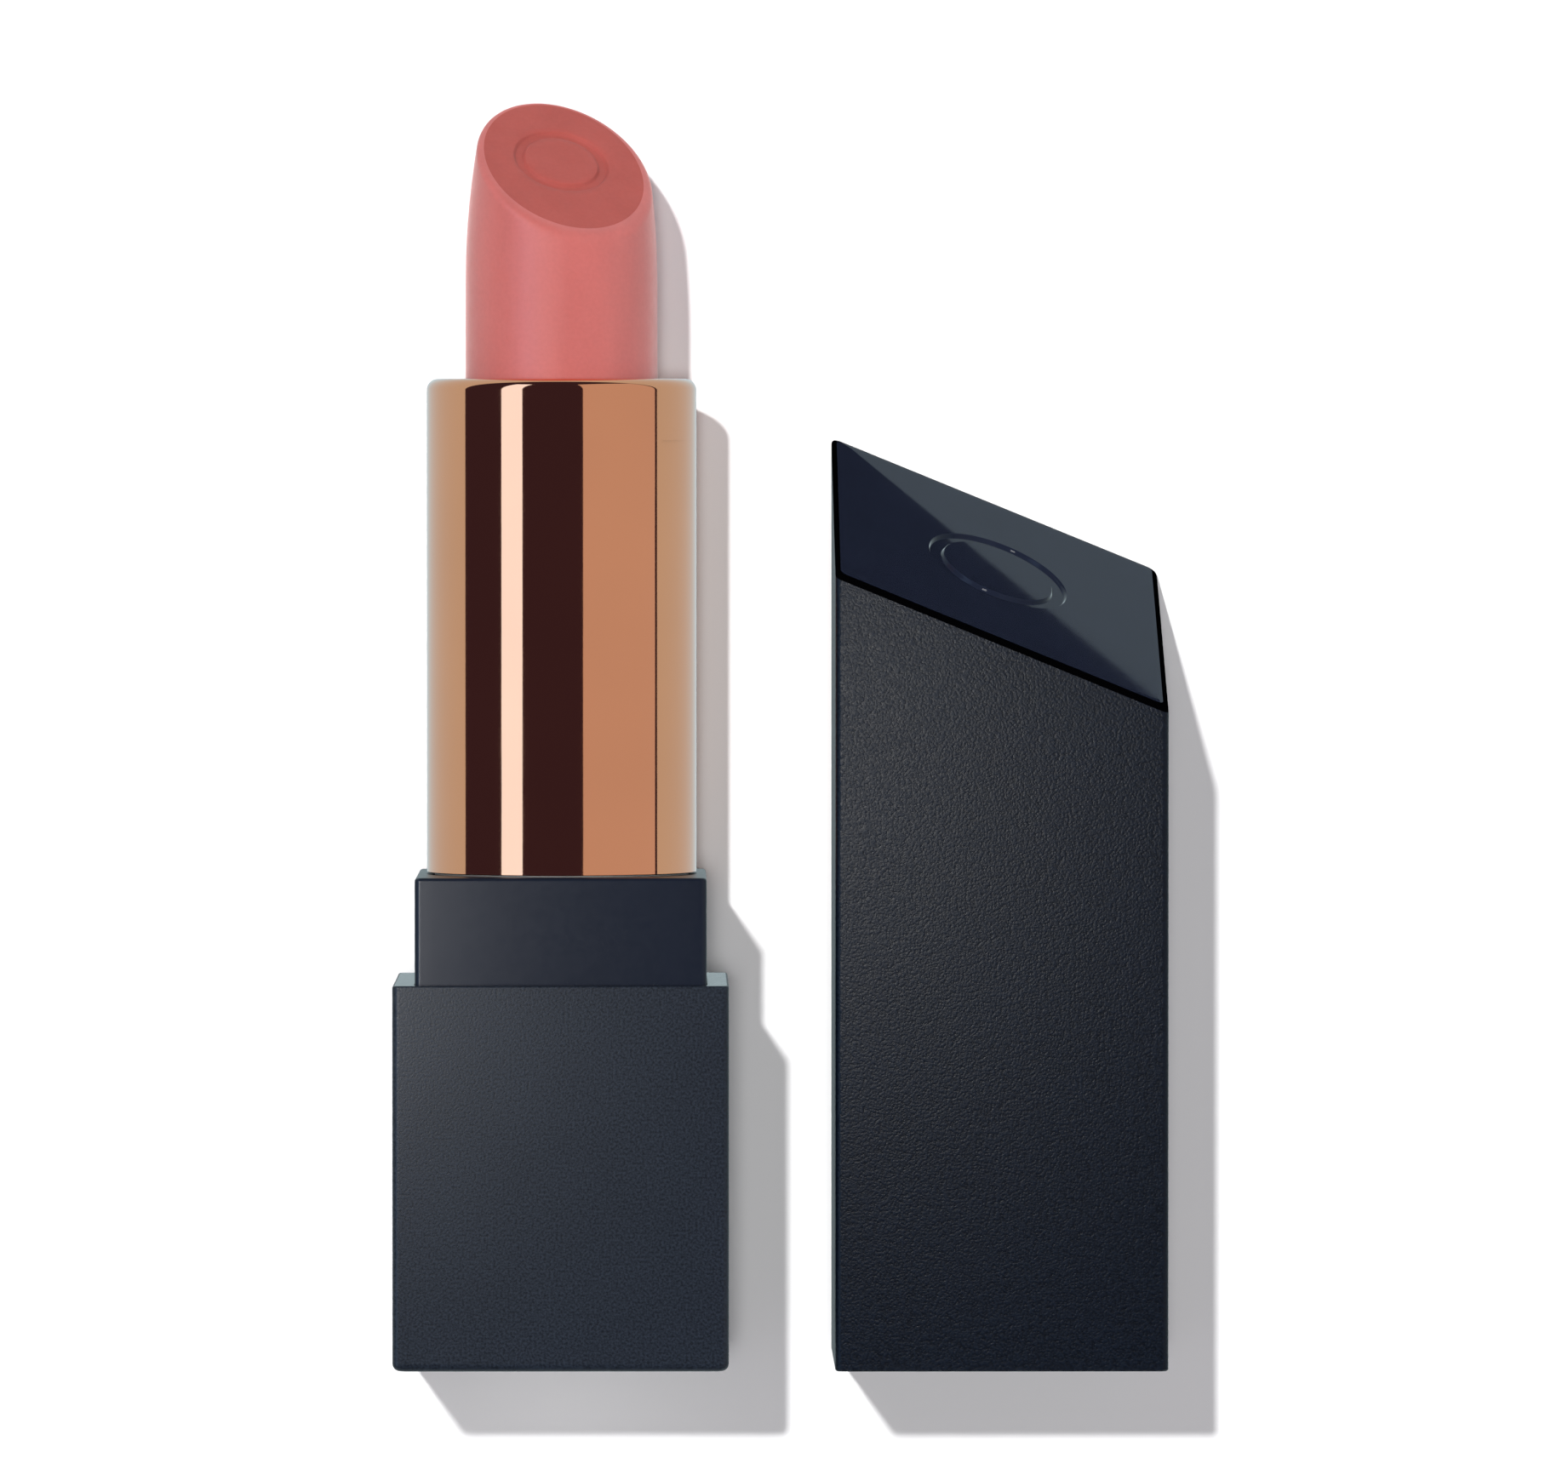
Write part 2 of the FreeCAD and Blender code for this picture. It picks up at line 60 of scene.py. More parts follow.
# shoulder
SHOULDER_HALF = 9.125 * MM
SHOULDER_CORNER = 0.35 * MM
SHOULDER_EDGE = 0.22 * MM
WELL_RADIUS = 8.45 * MM
WELL_DEPTH = 3.6 * MM
WELL_EDGE = 0.08 * MM
SOCKET_RADIUS = 7.25 * MM
SOCKET_DEPTH = 14.6 * MM

# tube
TUBE_OUTER = 8.5 * MM
TUBE_INNER = 8.05 * MM
TUBE_MOUTH = 6.75 * MM
TUBE_ROLL = 0.7 * MM
TUBE_RIM_THICK = 0.5 * MM
TUBE_LIP = 0.2 * MM
TUBE_CUT_EDGE = 0.04 * MM

# bullet, with lengths measured from the tube's rim
BULLET_RADIUS = 6.05 * MM
BULLET_BOW = 52.5 * MM
BULLET_STRAIGHT = 6.0 * MM
BULLET_FACE_HEIGHT = 13.75 * MM
BULLET_TILT = math.radians(39.0)
BULLET_TURN = math.radians(19.1)
BULLET_FOOT_ROUND = 0.12 * MM
TIP_ROUND = 0.28 * MM
FRONT_ROUND = 0.62 * MM
BULLET_FLAT = 4.2 * MM

# cap, with its height at its middle
CAP_CORNER = 0.4 * MM
CAP_BEVEL = 0.34 * MM
CAP_WALL = 0.65 * MM
CAP_ROOF = 1.6 * MM
CAP_INSIDE_CORNER = 0.2 * MM
CAP_MIDDLE_HEIGHT = 49.9 * MM
CAP_TILT = math.radians(30.0)
CAP_LIP = 0.1 * MM
CAP_FLAT = 6.0 * MM

# pressed rings: inner radius, outer radius, depth and how far their walls lean
CAP_RING = (3.7 * MM, 4.6 * MM, 0.3 * MM, 0.07 * MM)
BULLET_RING = (2.4 * MM, 3.0 * MM, 0.25 * MM, 0.12 * MM)
RING_START = 0.2 * MM

# points round a square's corner, along its side and round a circle
CORNER_STEPS = 8
SIDE_STEPS = 20
LATHE_STEPS = 192

# a flat end's last ring before its middle point, as a share of the end
HUB = 1 / 4
RECESS_HUB = 1 / 8
SHARP_ANGLE = math.radians(35)


# ---------- helpers ----------

def link(thing):
    """Puts an object in the scene and gives it back."""
    bpy.context.scene.collection.objects.link(thing)
    return thing


def middle_of(node):
    """The point on a node's long axis at its lower end, and its length."""
    low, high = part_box(node)
    return Vector(((low[0] + high[0]) / 2, low[1], (low[2] + high[2]) / 2)), high[1] - low[1]


def square_outline(half, corner):
    """Points (across, front) round a square with rounded corners."""
    points = []
    straight = half - corner
    for quarter in range(4):
        turn = Matrix.Rotation(quarter * math.pi / 2, 2)
        for step in range(SIDE_STEPS):
            front = -straight + 2 * straight * step / SIDE_STEPS
            points.append(turn @ Vector((half, front)))
        for step in range(CORNER_STEPS):
            angle = math.pi / 2 * step / CORNER_STEPS
            arc = Vector((math.cos(angle), math.sin(angle))) * corner
            points.append(turn @ (Vector((straight, straight)) + arc))
    return points


def round_outline(radius, like=None):
    """Points (across, front) round a circle, at the angles of another outline's points if one is given."""
    if like is None:
        angles = [2 * math.pi * step / LATHE_STEPS for step in range(LATHE_STEPS)]
    else:
        angles = [math.atan2(point.y, point.x) for point in like]
    return [Vector((radius * math.cos(angle), radius * math.sin(angle))) for angle in angles]


def level_ring(outline, along):
    return [(point.x, point.y, along) for point in outline]


def loft(name, origin, rings, looped=False, slots=()):
    """A closed mesh through rings of (across, front, along) points.

    A looped one joins its last ring to its first; any other is closed by a fan at each end.
    slots lists (first ring, last ring, material slot) for the bands that aren't in slot 0.
    """
    def slot_of(band):
        for first, last, slot in slots:
            if first <= band < last:
                return slot
        return 0

    mesh = bmesh.new()
    rows = []
    for ring in rings:
        row = []
        for across, front, along in ring:
            row.append(mesh.verts.new((origin.x + across, origin.y + along, origin.z + front)))
        rows.append(row)
    count = len(rows[0])
    pairs = list(zip(rows, rows[1:]))
    if looped:
        pairs.append((rows[-1], rows[0]))
    for band, (lower, upper) in enumerate(pairs):
        for index in range(count):
            after = (index + 1) % count
            face = mesh.faces.new((lower[index], lower[after], upper[after], upper[index]))
            face.material_index = slot_of(band)
    if not looped:
        for row, band in ((rows[0], 0), (rows[-1], len(pairs) - 1)):
            centre = sum((vert.co for vert in row), Vector()) / count
            hub = mesh.verts.new(centre)
            for index in range(count):
                face = mesh.faces.new((row[index], row[(index + 1) % count], hub))
                face.material_index = slot_of(band)
    bmesh.ops.recalc_face_normals(mesh, faces=mesh.faces)
    data = bpy.data.meshes.new(name)
    mesh.to_mesh(data)
    mesh.free()
    data.shade_smooth()
    data.set_sharp_from_angle(angle=SHARP_ANGLE)
    piece = link(bpy.data.objects.new(name, data))
    weighted = piece.modifiers.new("flat_faces", "WEIGHTED_NORMAL")
    weighted.keep_sharp = True
    return piece


def quarter_turn(steps):
    """Angles of a quarter circle, both ends in."""
    return [math.pi / 2 * step / steps for step in range(steps + 1)]


# ---------- pieces ----------

RIM_SLOT = 1
BEVEL_SLOT = 1
TOP_SLOT = 2
FACE_SLOT = 1


def build_base():
    """Square cup: the foot with its round recess, rounded foot edges, the rim and the inside."""
    origin, length = middle_of("base_shell")
    low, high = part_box("base_shell")
    half = (high[0] - low[0]) / 2
    outer_outline = square_outline(half, BASE_CORNER)
    recess = (RECESS_HUB * RECESS_RADIUS, RECESS_DEPTH), (RECESS_RADIUS, RECESS_DEPTH), (RECESS_RADIUS, 0)
    rings = [level_ring(round_outline(radius, outer_outline), along) for radius, along in recess]
    foot_steps = 6
    for angle in quarter_turn(foot_steps):
        outline = square_outline(half - BASE_FOOT_ROUND * (1 - math.sin(angle)), BASE_CORNER)
        rings.append(level_ring(outline, BASE_FOOT_ROUND * (1 - math.cos(angle))))
    rim_steps = 4
    for angle in quarter_turn(rim_steps):
        outline = square_outline(half - BASE_RIM_ROUND * (1 - math.cos(angle)), BASE_CORNER)
        rings.append(level_ring(outline, length - BASE_RIM_ROUND * (1 - math.sin(angle))))
    rim = len(rings) - 1
    hollow = (BASE_INSIDE, length), (BASE_INSIDE, BASE_FLOOR), (HUB * BASE_INSIDE, BASE_FLOOR)
    for half_width, along in hollow:
        rings.append(level_ring(square_outline(half_width, BASE_CORNER / 2), along))
    piece = loft("base_block", origin, rings, slots=[(rim, rim + 1, RIM_SLOT)])
    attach(piece, "base")
    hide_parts("base_shell")
    return piece


def build_shoulder():
    """The square step: crisp rounded edges, a round well for the tube and a socket under it."""
    origin, length = middle_of("shoulder_insert")
    outer_outline = square_outline(SHOULDER_HALF, SHOULDER_CORNER)
    rings = [
        level_ring(square_outline(HUB * SHOULDER_HALF, SHOULDER_CORNER), 0),
        level_ring(outer_outline, 0),
    ]
    edge_steps = 5
    for angle in quarter_turn(edge_steps):
        outline = square_outline(SHOULDER_HALF - SHOULDER_EDGE * (1 - math.cos(angle)), SHOULDER_CORNER)
        rings.append(level_ring(outline, length - SHOULDER_EDGE * (1 - math.sin(angle))))
    for radius, depth in (
        (WELL_RADIUS + WELL_EDGE, 0), (WELL_RADIUS, WELL_EDGE), (WELL_RADIUS, WELL_DEPTH),
        (SOCKET_RADIUS, WELL_DEPTH), (SOCKET_RADIUS, SOCKET_DEPTH), (HUB * SOCKET_RADIUS, SOCKET_DEPTH)
    ):
        rings.append(level_ring(round_outline(radius, outer_outline), length - depth))
    piece = loft("shoulder_block", origin, rings)
    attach(piece, "base")
    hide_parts("shoulder_insert")
    return piece


def build_tube():
    """Drawn metal tube with a rolled-in rim."""
    origin, length = middle_of("outer_tube")
    cut = TUBE_CUT_EDGE
    inside_top = length - TUBE_RIM_THICK
    profile = [(TUBE_INNER, cut), (TUBE_INNER + cut, 0), (TUBE_OUTER - cut, 0), (TUBE_OUTER, cut)]
    wall_steps = 13
    for step in range(1, wall_steps):
        profile.append((TUBE_OUTER, (length - TUBE_ROLL) * step / wall_steps))
    roll_steps = 10
    for angle in quarter_turn(roll_steps):
        drop = TUBE_ROLL * (1 - math.sin(angle))
        profile.append((TUBE_OUTER - TUBE_ROLL * (1 - math.cos(angle)), length - drop))
    lip_steps = 6
    for angle in quarter_turn(lip_steps):
        drop = TUBE_LIP * (1 - math.cos(angle))
        profile.append((TUBE_MOUTH + TUBE_LIP * (1 - math.sin(angle)), length - drop))
    profile.append((TUBE_MOUTH, inside_top))
    profile.append((TUBE_INNER - TUBE_LIP, inside_top))
    profile.append((TUBE_INNER, inside_top - TUBE_LIP))
    rings = [level_ring(round_outline(radius), along) for radius, along in profile]
    piece = loft("tube_shell", origin, rings, looped=True)
    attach(piece, "tube")
    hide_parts("outer_tube")
    return piece


def press(distance, ring):
    """How deep a pressed ring is at a distance from its middle, with soft walls."""
    inner, outer, depth, lean = ring
    if distance <= inner - lean or distance >= outer + lean:
        return 0.0
    rising = min(1.0, (distance - inner + lean) / (2 * lean))
    falling = min(1.0, (outer + lean - distance) / (2 * lean))
    share = min(rising, falling)
    return depth * share * share * (3 - 2 * share)


def ring_distances(ring, end):
    """Distances from a pressed ring's middle, furthest first, at which its face needs points."""
    inner, outer, _, lean = ring
    first = inner - lean
    last = outer + lean
    inside_steps, wall_steps, outside_steps = 6, 5, 3
    distances = [RING_START + (first - RING_START) * step / inside_steps for step in range(inside_steps)]
    for wall in (inner, outer):
        distances += [wall - lean + 2 * lean * step / wall_steps for step in range(wall_steps + 1)]
    distances += [last + (end - last) * step / outside_steps for step in range(1, outside_steps + 1)]
    return distances[::-1]


def bend(first, corner, last, share):
    """A point on the curve that rounds a corner."""
    return (1 - share) ** 2 * first + 2 * share * (1 - share) * corner + share ** 2 * last


def build_bullet():
    """Bullet: a straight stick that bows in to a slanted face with softly rounded edges."""
    low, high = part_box("bullet")
    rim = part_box("outer_tube")[1][1]
    bow_start = rim + BULLET_STRAIGHT
    face_height = rim + BULLET_FACE_HEIGHT
    origin = Vector(((low[0] + high[0]) / 2, 0, (low[2] + high[2]) / 2))
    downhill = Vector((math.sin(BULLET_TURN), math.cos(BULLET_TURN)))
    fall = math.tan(BULLET_TILT)

    def side_radius(along):
        rise = max(0.0, along - bow_start)
        return BULLET_RADIUS - BULLET_BOW + math.sqrt(BULLET_BOW ** 2 - rise ** 2)

    def face_at(spot):
        return face_height - fall * spot.dot(downhill)

    def edge_at(way):
        """Where the side meets the face in this direction, found by closing in: (radius, along)."""
        rounds, share = 40, 0.5
        along = face_height
        for _ in range(rounds):
            along += share * (face_at(side_radius(along) * way) - along)
        return side_radius(along), along

    def rounding(way):
        """The edge is crisp at the tip and softer towards the front."""
        forward = (way.dot(downhill) + 1) / 2
        return TIP_ROUND + (FRONT_ROUND - TIP_ROUND) * forward

    angles = [2 * math.pi * step / LATHE_STEPS for step in range(LATHE_STEPS)]
    ways = [Vector((math.cos(angle), math.sin(angle))) for angle in angles]
    edges = [edge_at(way) for way in ways]
    bottom = low[1]
    rings = []
    for inset, rise in ((4 * BULLET_FOOT_ROUND, 0), (BULLET_FOOT_ROUND, 0), (0, BULLET_FOOT_ROUND)):
        rings.append(level_ring(round_outline(BULLET_RADIUS - inset), bottom + rise))
    side_steps = 22
    start = bottom + BULLET_FOOT_ROUND
    for step in range(1, side_steps + 1):
        ring = []
        for way, (_, top) in zip(ways, edges):
            along = start + (top - rounding(way) - start) * step / side_steps
            spot = side_radius(along) * way
            ring.append((spot.x, spot.y, along))
        rings.append(ring)
    edge_steps = 8
    for step in range(1, edge_steps):
        share = step / edge_steps
        ring = []
        for way, (reach, top) in zip(ways, edges):
            soft = rounding(way)
            inner = (reach - soft) * way
            spot = bend(side_radius(top - soft), reach, reach - soft, share) * way
            ring.append((spot.x, spot.y, bend(top - soft, top, face_at(inner), share)))
        rings.append(ring)
    face_start = len(rings)
    face_steps = 4
    for step in range(face_steps):
        share = step / face_steps
        ring = []
        for way, (reach, _) in zip(ways, edges):
            target = BULLET_FLAT / math.hypot(1, fall * way.dot(downhill))
            spot = ((1 - share) * (reach - rounding(way)) + share * target) * way
            ring.append((spot.x, spot.y, face_at(spot)))
        rings.append(ring)
    for distance in ring_distances(BULLET_RING, BULLET_FLAT):
        sunk = press(distance, BULLET_RING)
        ring = []
        for way in ways:
            spot = distance / math.hypot(1, fall * way.dot(downhill)) * way
            along = face_at(spot) - sunk * math.cos(BULLET_TILT)
            spot = spot - sunk * math.sin(BULLET_TILT) * downhill
            ring.append((spot.x, spot.y, along))
        rings.append(ring)
    piece = loft("bullet_stick", origin, rings, slots=[(face_start, len(rings), FACE_SLOT)])
    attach(piece, "carrier")
    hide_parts("bullet")
    return piece


def build_cap():
    """Square cap cut by a slanted plane, with a narrow bevel round the cut and a hollow inside."""
    origin, _ = middle_of("cap_shell")
    low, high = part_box("cap_shell")
    half = (high[0] - low[0]) / 2
    inside = half - CAP_WALL
    slope = math.tan(CAP_TILT) / math.sqrt(2)

    def cut(across, front, sunk=0.0):
        return CAP_MIDDLE_HEIGHT - slope * (across + front) - sunk / math.cos(CAP_TILT)

    def slanted_ring(outline, sunk=0.0):
        return [(point.x, point.y, cut(point.x, point.y, sunk)) for point in outline]

    outer_outline = square_outline(half, CAP_CORNER)
    inner_outline = square_outline(inside, CAP_INSIDE_CORNER)
    side_steps = 16
    rings = [slanted_ring(square_outline(HUB * inside, CAP_INSIDE_CORNER), CAP_ROOF)]
    rings.append(slanted_ring(inner_outline, CAP_ROOF))
    for step in range(1, side_steps):
        share = 1 - step / side_steps
        rings.append([(p.x, p.y, share * cut(p.x, p.y, CAP_ROOF)) for p in inner_outline])
    rings.append(level_ring(inner_outline, CAP_LIP / 2))
    rings.append(level_ring(square_outline(inside + CAP_LIP / 2, CAP_INSIDE_CORNER), 0))
    rings.append(level_ring(square_outline(half - CAP_LIP, CAP_CORNER), 0))
    rings.append(level_ring(outer_outline, CAP_LIP))
    for step in range(1, side_steps + 1):
        share = step / side_steps
        rings.append([(p.x, p.y, share * (cut(p.x, p.y) - CAP_BEVEL)) for p in outer_outline])
    bevel_start = len(rings) - 1
    bevel_steps = 4
    for angle in quarter_turn(bevel_steps)[1:]:
        outline = square_outline(half - CAP_BEVEL * (1 - math.cos(angle)), CAP_CORNER)
        drop = CAP_BEVEL * (1 - math.sin(angle))
        rings.append([(p.x, p.y, cut(p.x, p.y) - drop) for p in outline])
    bevel_end = len(rings) - 1
    rings.append(slanted_ring(square_outline(half - 2 * CAP_BEVEL, CAP_CORNER)))
    for distance in ring_distances(CAP_RING, CAP_FLAT):
        sunk = press(distance, CAP_RING)
        sideways = sunk * math.sin(CAP_TILT) / math.sqrt(2)
        ring = []
        for point in round_outline(1.0, outer_outline):
            spot = distance / math.hypot(1, slope * (point.x + point.y)) * point
            along = cut(spot.x, spot.y) - sunk * math.cos(CAP_TILT)
            ring.append((spot.x - sideways, spot.y - sideways, along))
        rings.append(ring)
    slots = [(bevel_start, bevel_end, BEVEL_SLOT), (bevel_end, len(rings), TOP_SLOT)]
    piece = loft("cap_block", origin, rings, slots=slots)
    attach(piece, "cap")
    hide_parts("cap_shell")
    return piece


base_block = build_base()
shoulder_block = build_shoulder()
tube_shell = build_tube()
bullet_stick = build_bullet()
cap_block = build_cap()


# ---------- materials ----------

COATING_ROUGHNESS = 0.42
# nearly all of a noise texture's values lie between these
NOISE_LOW = 0.3
NOISE_HIGH = 0.7


class Paint:
    """A Principled material and short calls to add the nodes that vary it."""

    def __init__(self, name, color, roughness, **sockets):
        self.material = bpy.data.materials.new(name)
        self.material.use_nodes = True
        self.nodes = self.material.node_tree.nodes
        self.links = self.material.node_tree.links
        self.shader = self.nodes["Principled BSDF"]
        self.color = (*color, 1.0)
        self.roughness = roughness
        self.shader.inputs["Base Color"].default_value = self.color
        self.shader.inputs["Roughness"].default_value = roughness
        for socket, value in sockets.items():
            self.shader.inputs[socket.replace("_", " ")].default_value = value
        self.place = self.nodes.new("ShaderNodeTexCoord").outputs["Object"]
        self.last_bump = None

    def stretched(self, scale):
        """Object coordinates stretched per axis."""
        mapping = self.nodes.new("ShaderNodeMapping")
        mapping.inputs["Scale"].default_value = scale
        self.links.new(self.place, mapping.inputs["Vector"])
        return mapping.outputs["Vector"]

    def noise(self, grain, detail=3.0, stretch=(1, 1, 1)):
        """Noise whose features are about grain metres wide."""
        texture = self.nodes.new("ShaderNodeTexNoise")
        texture.inputs["Scale"].default_value = 1.0 / grain
        texture.inputs["Detail"].default_value = detail
        self.links.new(self.stretched(stretch), texture.inputs["Vector"])
        return texture.outputs["Fac"]

    def between(self, factor, low, high):
        """Maps a noise factor to low..high."""
        remap = self.nodes.new("ShaderNodeMapRange")
        remap.inputs["From Min"].default_value = NOISE_LOW
        remap.inputs["From Max"].default_value = NOISE_HIGH
        remap.inputs["To Min"].default_value = low
        remap.inputs["To Max"].default_value = high
        self.links.new(factor, remap.inputs["Value"])
        return remap.outputs["Result"]

    def tint(self, factor, dark, light):
        """Multiplies the colour so far by dark..light as the factor rises."""
        mix = self.nodes.new("ShaderNodeMix")
        mix.data_type = "RGBA"
        mix.blend_type = "MULTIPLY"
        mix.inputs["Factor"].default_value = 1.0
        socket = self.shader.inputs["Base Color"]
        if socket.is_linked:
            self.links.new(socket.links[0].from_socket, mix.inputs["A"])
        else:
            mix.inputs["A"].default_value = self.color
        self.links.new(self.between(factor, dark, light), mix.inputs["B"])
        self.links.new(mix.outputs["Result"], socket)

    def vary_roughness(self, factor, spread):
        low, high = self.roughness - spread, self.roughness + spread
        self.links.new(self.between(factor, low, high), self.shader.inputs["Roughness"])

    def bump(self, factor, depth):
        """Adds a bump of this depth in metres on top of the ones before it."""
        node = self.nodes.new("ShaderNodeBump")
        node.inputs["Distance"].default_value = depth
        self.links.new(factor, node.inputs["Height"])
        if self.last_bump is not None:
            self.links.new(self.last_bump, node.inputs["Normal"])
        self.last_bump = node.outputs["Normal"]
        self.links.new(self.last_bump, self.shader.inputs["Normal"])


def set_material(piece, *paints):
    """Fills a piece's material slots in order; its faces keep the slots they have."""
    kept = [face.material_index for face in piece.data.polygons]
    piece.data.materials.clear()
    for paint in paints:
        piece.data.materials.append(paint.material)
    if len(paints) > 1:
        for face, slot in zip(piece.data.polygons, kept):
            face.material_index = slot


def soft_touch(name, color, specular, grit):
    """Sprayed rubbery coating: a sparkle of grains, grit millimetres deep, and a slight mottle."""
    paint = Paint(name, color, COATING_ROUGHNESS, Specular_IOR_Level=specular)
    grains = paint.noise(0.15 * MM, detail=1.0)
    mottle = paint.noise(5.0 * MM, detail=4.0)
    paint.tint(grains, dark=0.62, light=1.45)
    paint.tint(mottle, dark=0.94, light=1.06)
    paint.vary_roughness(grains, spread=0.07)
    paint.bump(grains, depth=grit * MM)
    return paint


def moulded(name, color, roughness, specular=0.5, relief=2.0):
    """Bare moulded plastic: faint flow marks and a fine texture, relief micrometres deep."""
    paint = Paint(name, color, roughness, Specular_IOR_Level=specular)
    flow = paint.noise(3.0 * MM, detail=3.0, stretch=(1, 0.25, 1))
    fine = paint.noise(0.6 * MM, detail=4.0)
    paint.tint(flow, dark=0.94, light=1.05)
    paint.vary_roughness(fine, spread=0.02)
    paint.bump(fine, depth=relief * MICRON)
    return paint


def rose_gold():
    """Polished tinted metal under a thin clear lacquer, with faint draw marks along its length."""
    paint = Paint(
        "rose_gold", (0.87, 0.345, 0.150), 0.05,
        Metallic=1.0, Coat_Weight=0.8, Coat_Roughness=0.03, Coat_IOR=1.7
    )
    paint.vary_roughness(paint.noise(4.0 * MM, detail=5.0), spread=0.012)
    paint.tint(paint.noise(9.0 * MM, detail=2.0), dark=0.98, light=1.02)
    paint.bump(paint.noise(1.2 * MM, detail=2.0, stretch=(1, 0.15, 1)), depth=0.0015 * MM)
    return paint


def lipstick_wax(name, color, roughness, specular, sheen):
    """Wax that lets a little light in, with a pale bloom at its edges and faint streaks along the stick."""
    paint = Paint(
        name, color, roughness,
        Subsurface_Weight=0.15, Subsurface_Scale=1.0 * MM, Subsurface_Radius=(1.0, 0.35, 0.25),
        Specular_IOR_Level=specular,
        Sheen_Weight=sheen, Sheen_Roughness=0.4, Sheen_Tint=(1.0, 0.62, 0.58, 1.0)
    )
    paint.tint(paint.noise(2.5 * MM, detail=4.0, stretch=(1, 0.2, 1)), dark=0.95, light=1.05)
    paint.tint(paint.noise(0.25 * MM, detail=2.0), dark=0.97, light=1.03)
    paint.vary_roughness(paint.noise(0.8 * MM, detail=3.0), spread=0.05)
    paint.bump(paint.noise(0.35 * MM, detail=3.0), depth=0.004 * MM)
    paint.bump(paint.noise(4.0 * MM, detail=2.0, stretch=(1, 0.3, 1)), depth=0.015 * MM)
    return paint


def zinc_steel():
    """Zinc-plated steel with a brushed grain."""
    paint = Paint("slug_steel_zinc", (0.45, 0.45, 0.46), 0.38, Metallic=1.0)
    paint.tint(paint.noise(2.0 * MM, detail=5.0), dark=0.85, light=1.12)
    paint.vary_roughness(paint.noise(0.7 * MM, detail=3.0), spread=0.08)
    paint.bump(paint.noise(0.3 * MM, detail=4.0, stretch=(1, 1, 0.1)), depth=0.01 * MM)
    return paint


def label_paper():
    """Blank white paper with fibres."""
    paint = Paint("label_paper_fibre", (0.72, 0.72, 0.70), 0.75)
    paint.tint(paint.noise(0.5 * MM, detail=6.0, stretch=(1, 1, 0.3)), dark=0.95, light=1.04)
    paint.bump(paint.noise(0.12 * MM, detail=5.0), depth=0.01 * MM)
    return paint


set_material(
    base_block,
    soft_touch("base_coating", (0.0092, 0.0128, 0.0195), specular=0.30, grit=0.010),
    moulded("base_rim_moulding", (0.020, 0.022, 0.027), 0.22, specular=0.7)
)
set_material(
    cap_block,
    soft_touch("cap_coating", (0.0010, 0.0028, 0.0068), specular=0.22, grit=0.035),
    # The bevel round the cut is painted near black with no gloss: painted shade and painted dark reflection
    # for the dark line along the cut's edge.
    moulded("cap_bevel_painted_shade", (0.0006, 0.0006, 0.0008), 0.50, specular=0.0),
    moulded("cap_top_satin", (0.0118, 0.0155, 0.0290), 0.07, specular=0.07, relief=0.1)
)
set_material(
    shoulder_block,
    moulded("shoulder_moulding", (0.0062, 0.0092, 0.0175), 0.32, specular=0.27, relief=0.2)
)
set_material(tube_shell, rose_gold())
set_material(
    bullet_stick,
    lipstick_wax("bullet_side_wax", (0.45, 0.118, 0.106), 0.38, specular=0.40, sheen=0.5),
    lipstick_wax("bullet_face_wax", (0.355, 0.077, 0.064), 0.55, specular=0.15, sheen=0.1)
)

set_material(nodes["guide_body"], moulded("guide_acetal", (0.55, 0.54, 0.50), 0.42))
set_material(nodes["spiral_sleeve"], moulded("spiral_acetal", (0.50, 0.50, 0.48), 0.40))
set_material(nodes["bullet_cup"], moulded("cup_moulding", (0.030, 0.030, 0.034), 0.35))
set_material(nodes["cap_liner"], moulded("liner_moulding", (0.020, 0.021, 0.024), 0.30))
set_material(nodes["brake_ring"], moulded("brake_silicone_rubber", (0.60, 0.58, 0.55), 0.60))
set_material(nodes["base_weight"], zinc_steel())
set_material(nodes["shade_label"], label_paper())


# ---------- table, light and camera ----------

tube_middle = sum((Vector(corner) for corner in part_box("outer_tube")), Vector()) / 2
base_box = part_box("base_shell")
base_high = base_box[1]
cap_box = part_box("cap_shell")
cap_low, cap_high = cap_box


def panel(name, corners):
    """One flat four-sided face."""
    data = bpy.data.meshes.new(name)
    data.from_pydata(corners, [], [(0, 1, 2, 3)])
    return link(bpy.data.objects.new(name, data))


def add_floor():
    """White table, which the pieces mirror as an even cool grey, with no shadows on it."""
    reach = 3.0
    floor = panel("table", [(-reach, -reach, 0), (reach, -reach, 0), (reach, reach, 0), (-reach, reach, 0)])
    paint = Paint("table_white", (0.90, 0.90, 0.90), 0.85, Specular_IOR_Level=0.1)
    paint.tint(paint.noise(60 * MM, detail=2.0), dark=0.99, light=1.01)
    mirrored = paint.nodes.new("ShaderNodeEmission")
    mirrored.inputs["Color"].default_value = TABLE_MIRRORED
    path = paint.nodes.new("ShaderNodeLightPath")
    mix = paint.nodes.new("ShaderNodeMixShader")
    paint.links.new(path.outputs["Is Glossy Ray"], mix.inputs["Fac"])
    paint.links.new(paint.shader.outputs["BSDF"], mix.inputs[1])
    paint.links.new(mirrored.outputs["Emission"], mix.inputs[2])
    paint.links.new(mix.outputs["Shader"], paint.nodes["Material Output"].inputs["Surface"])
    set_material(floor, paint)


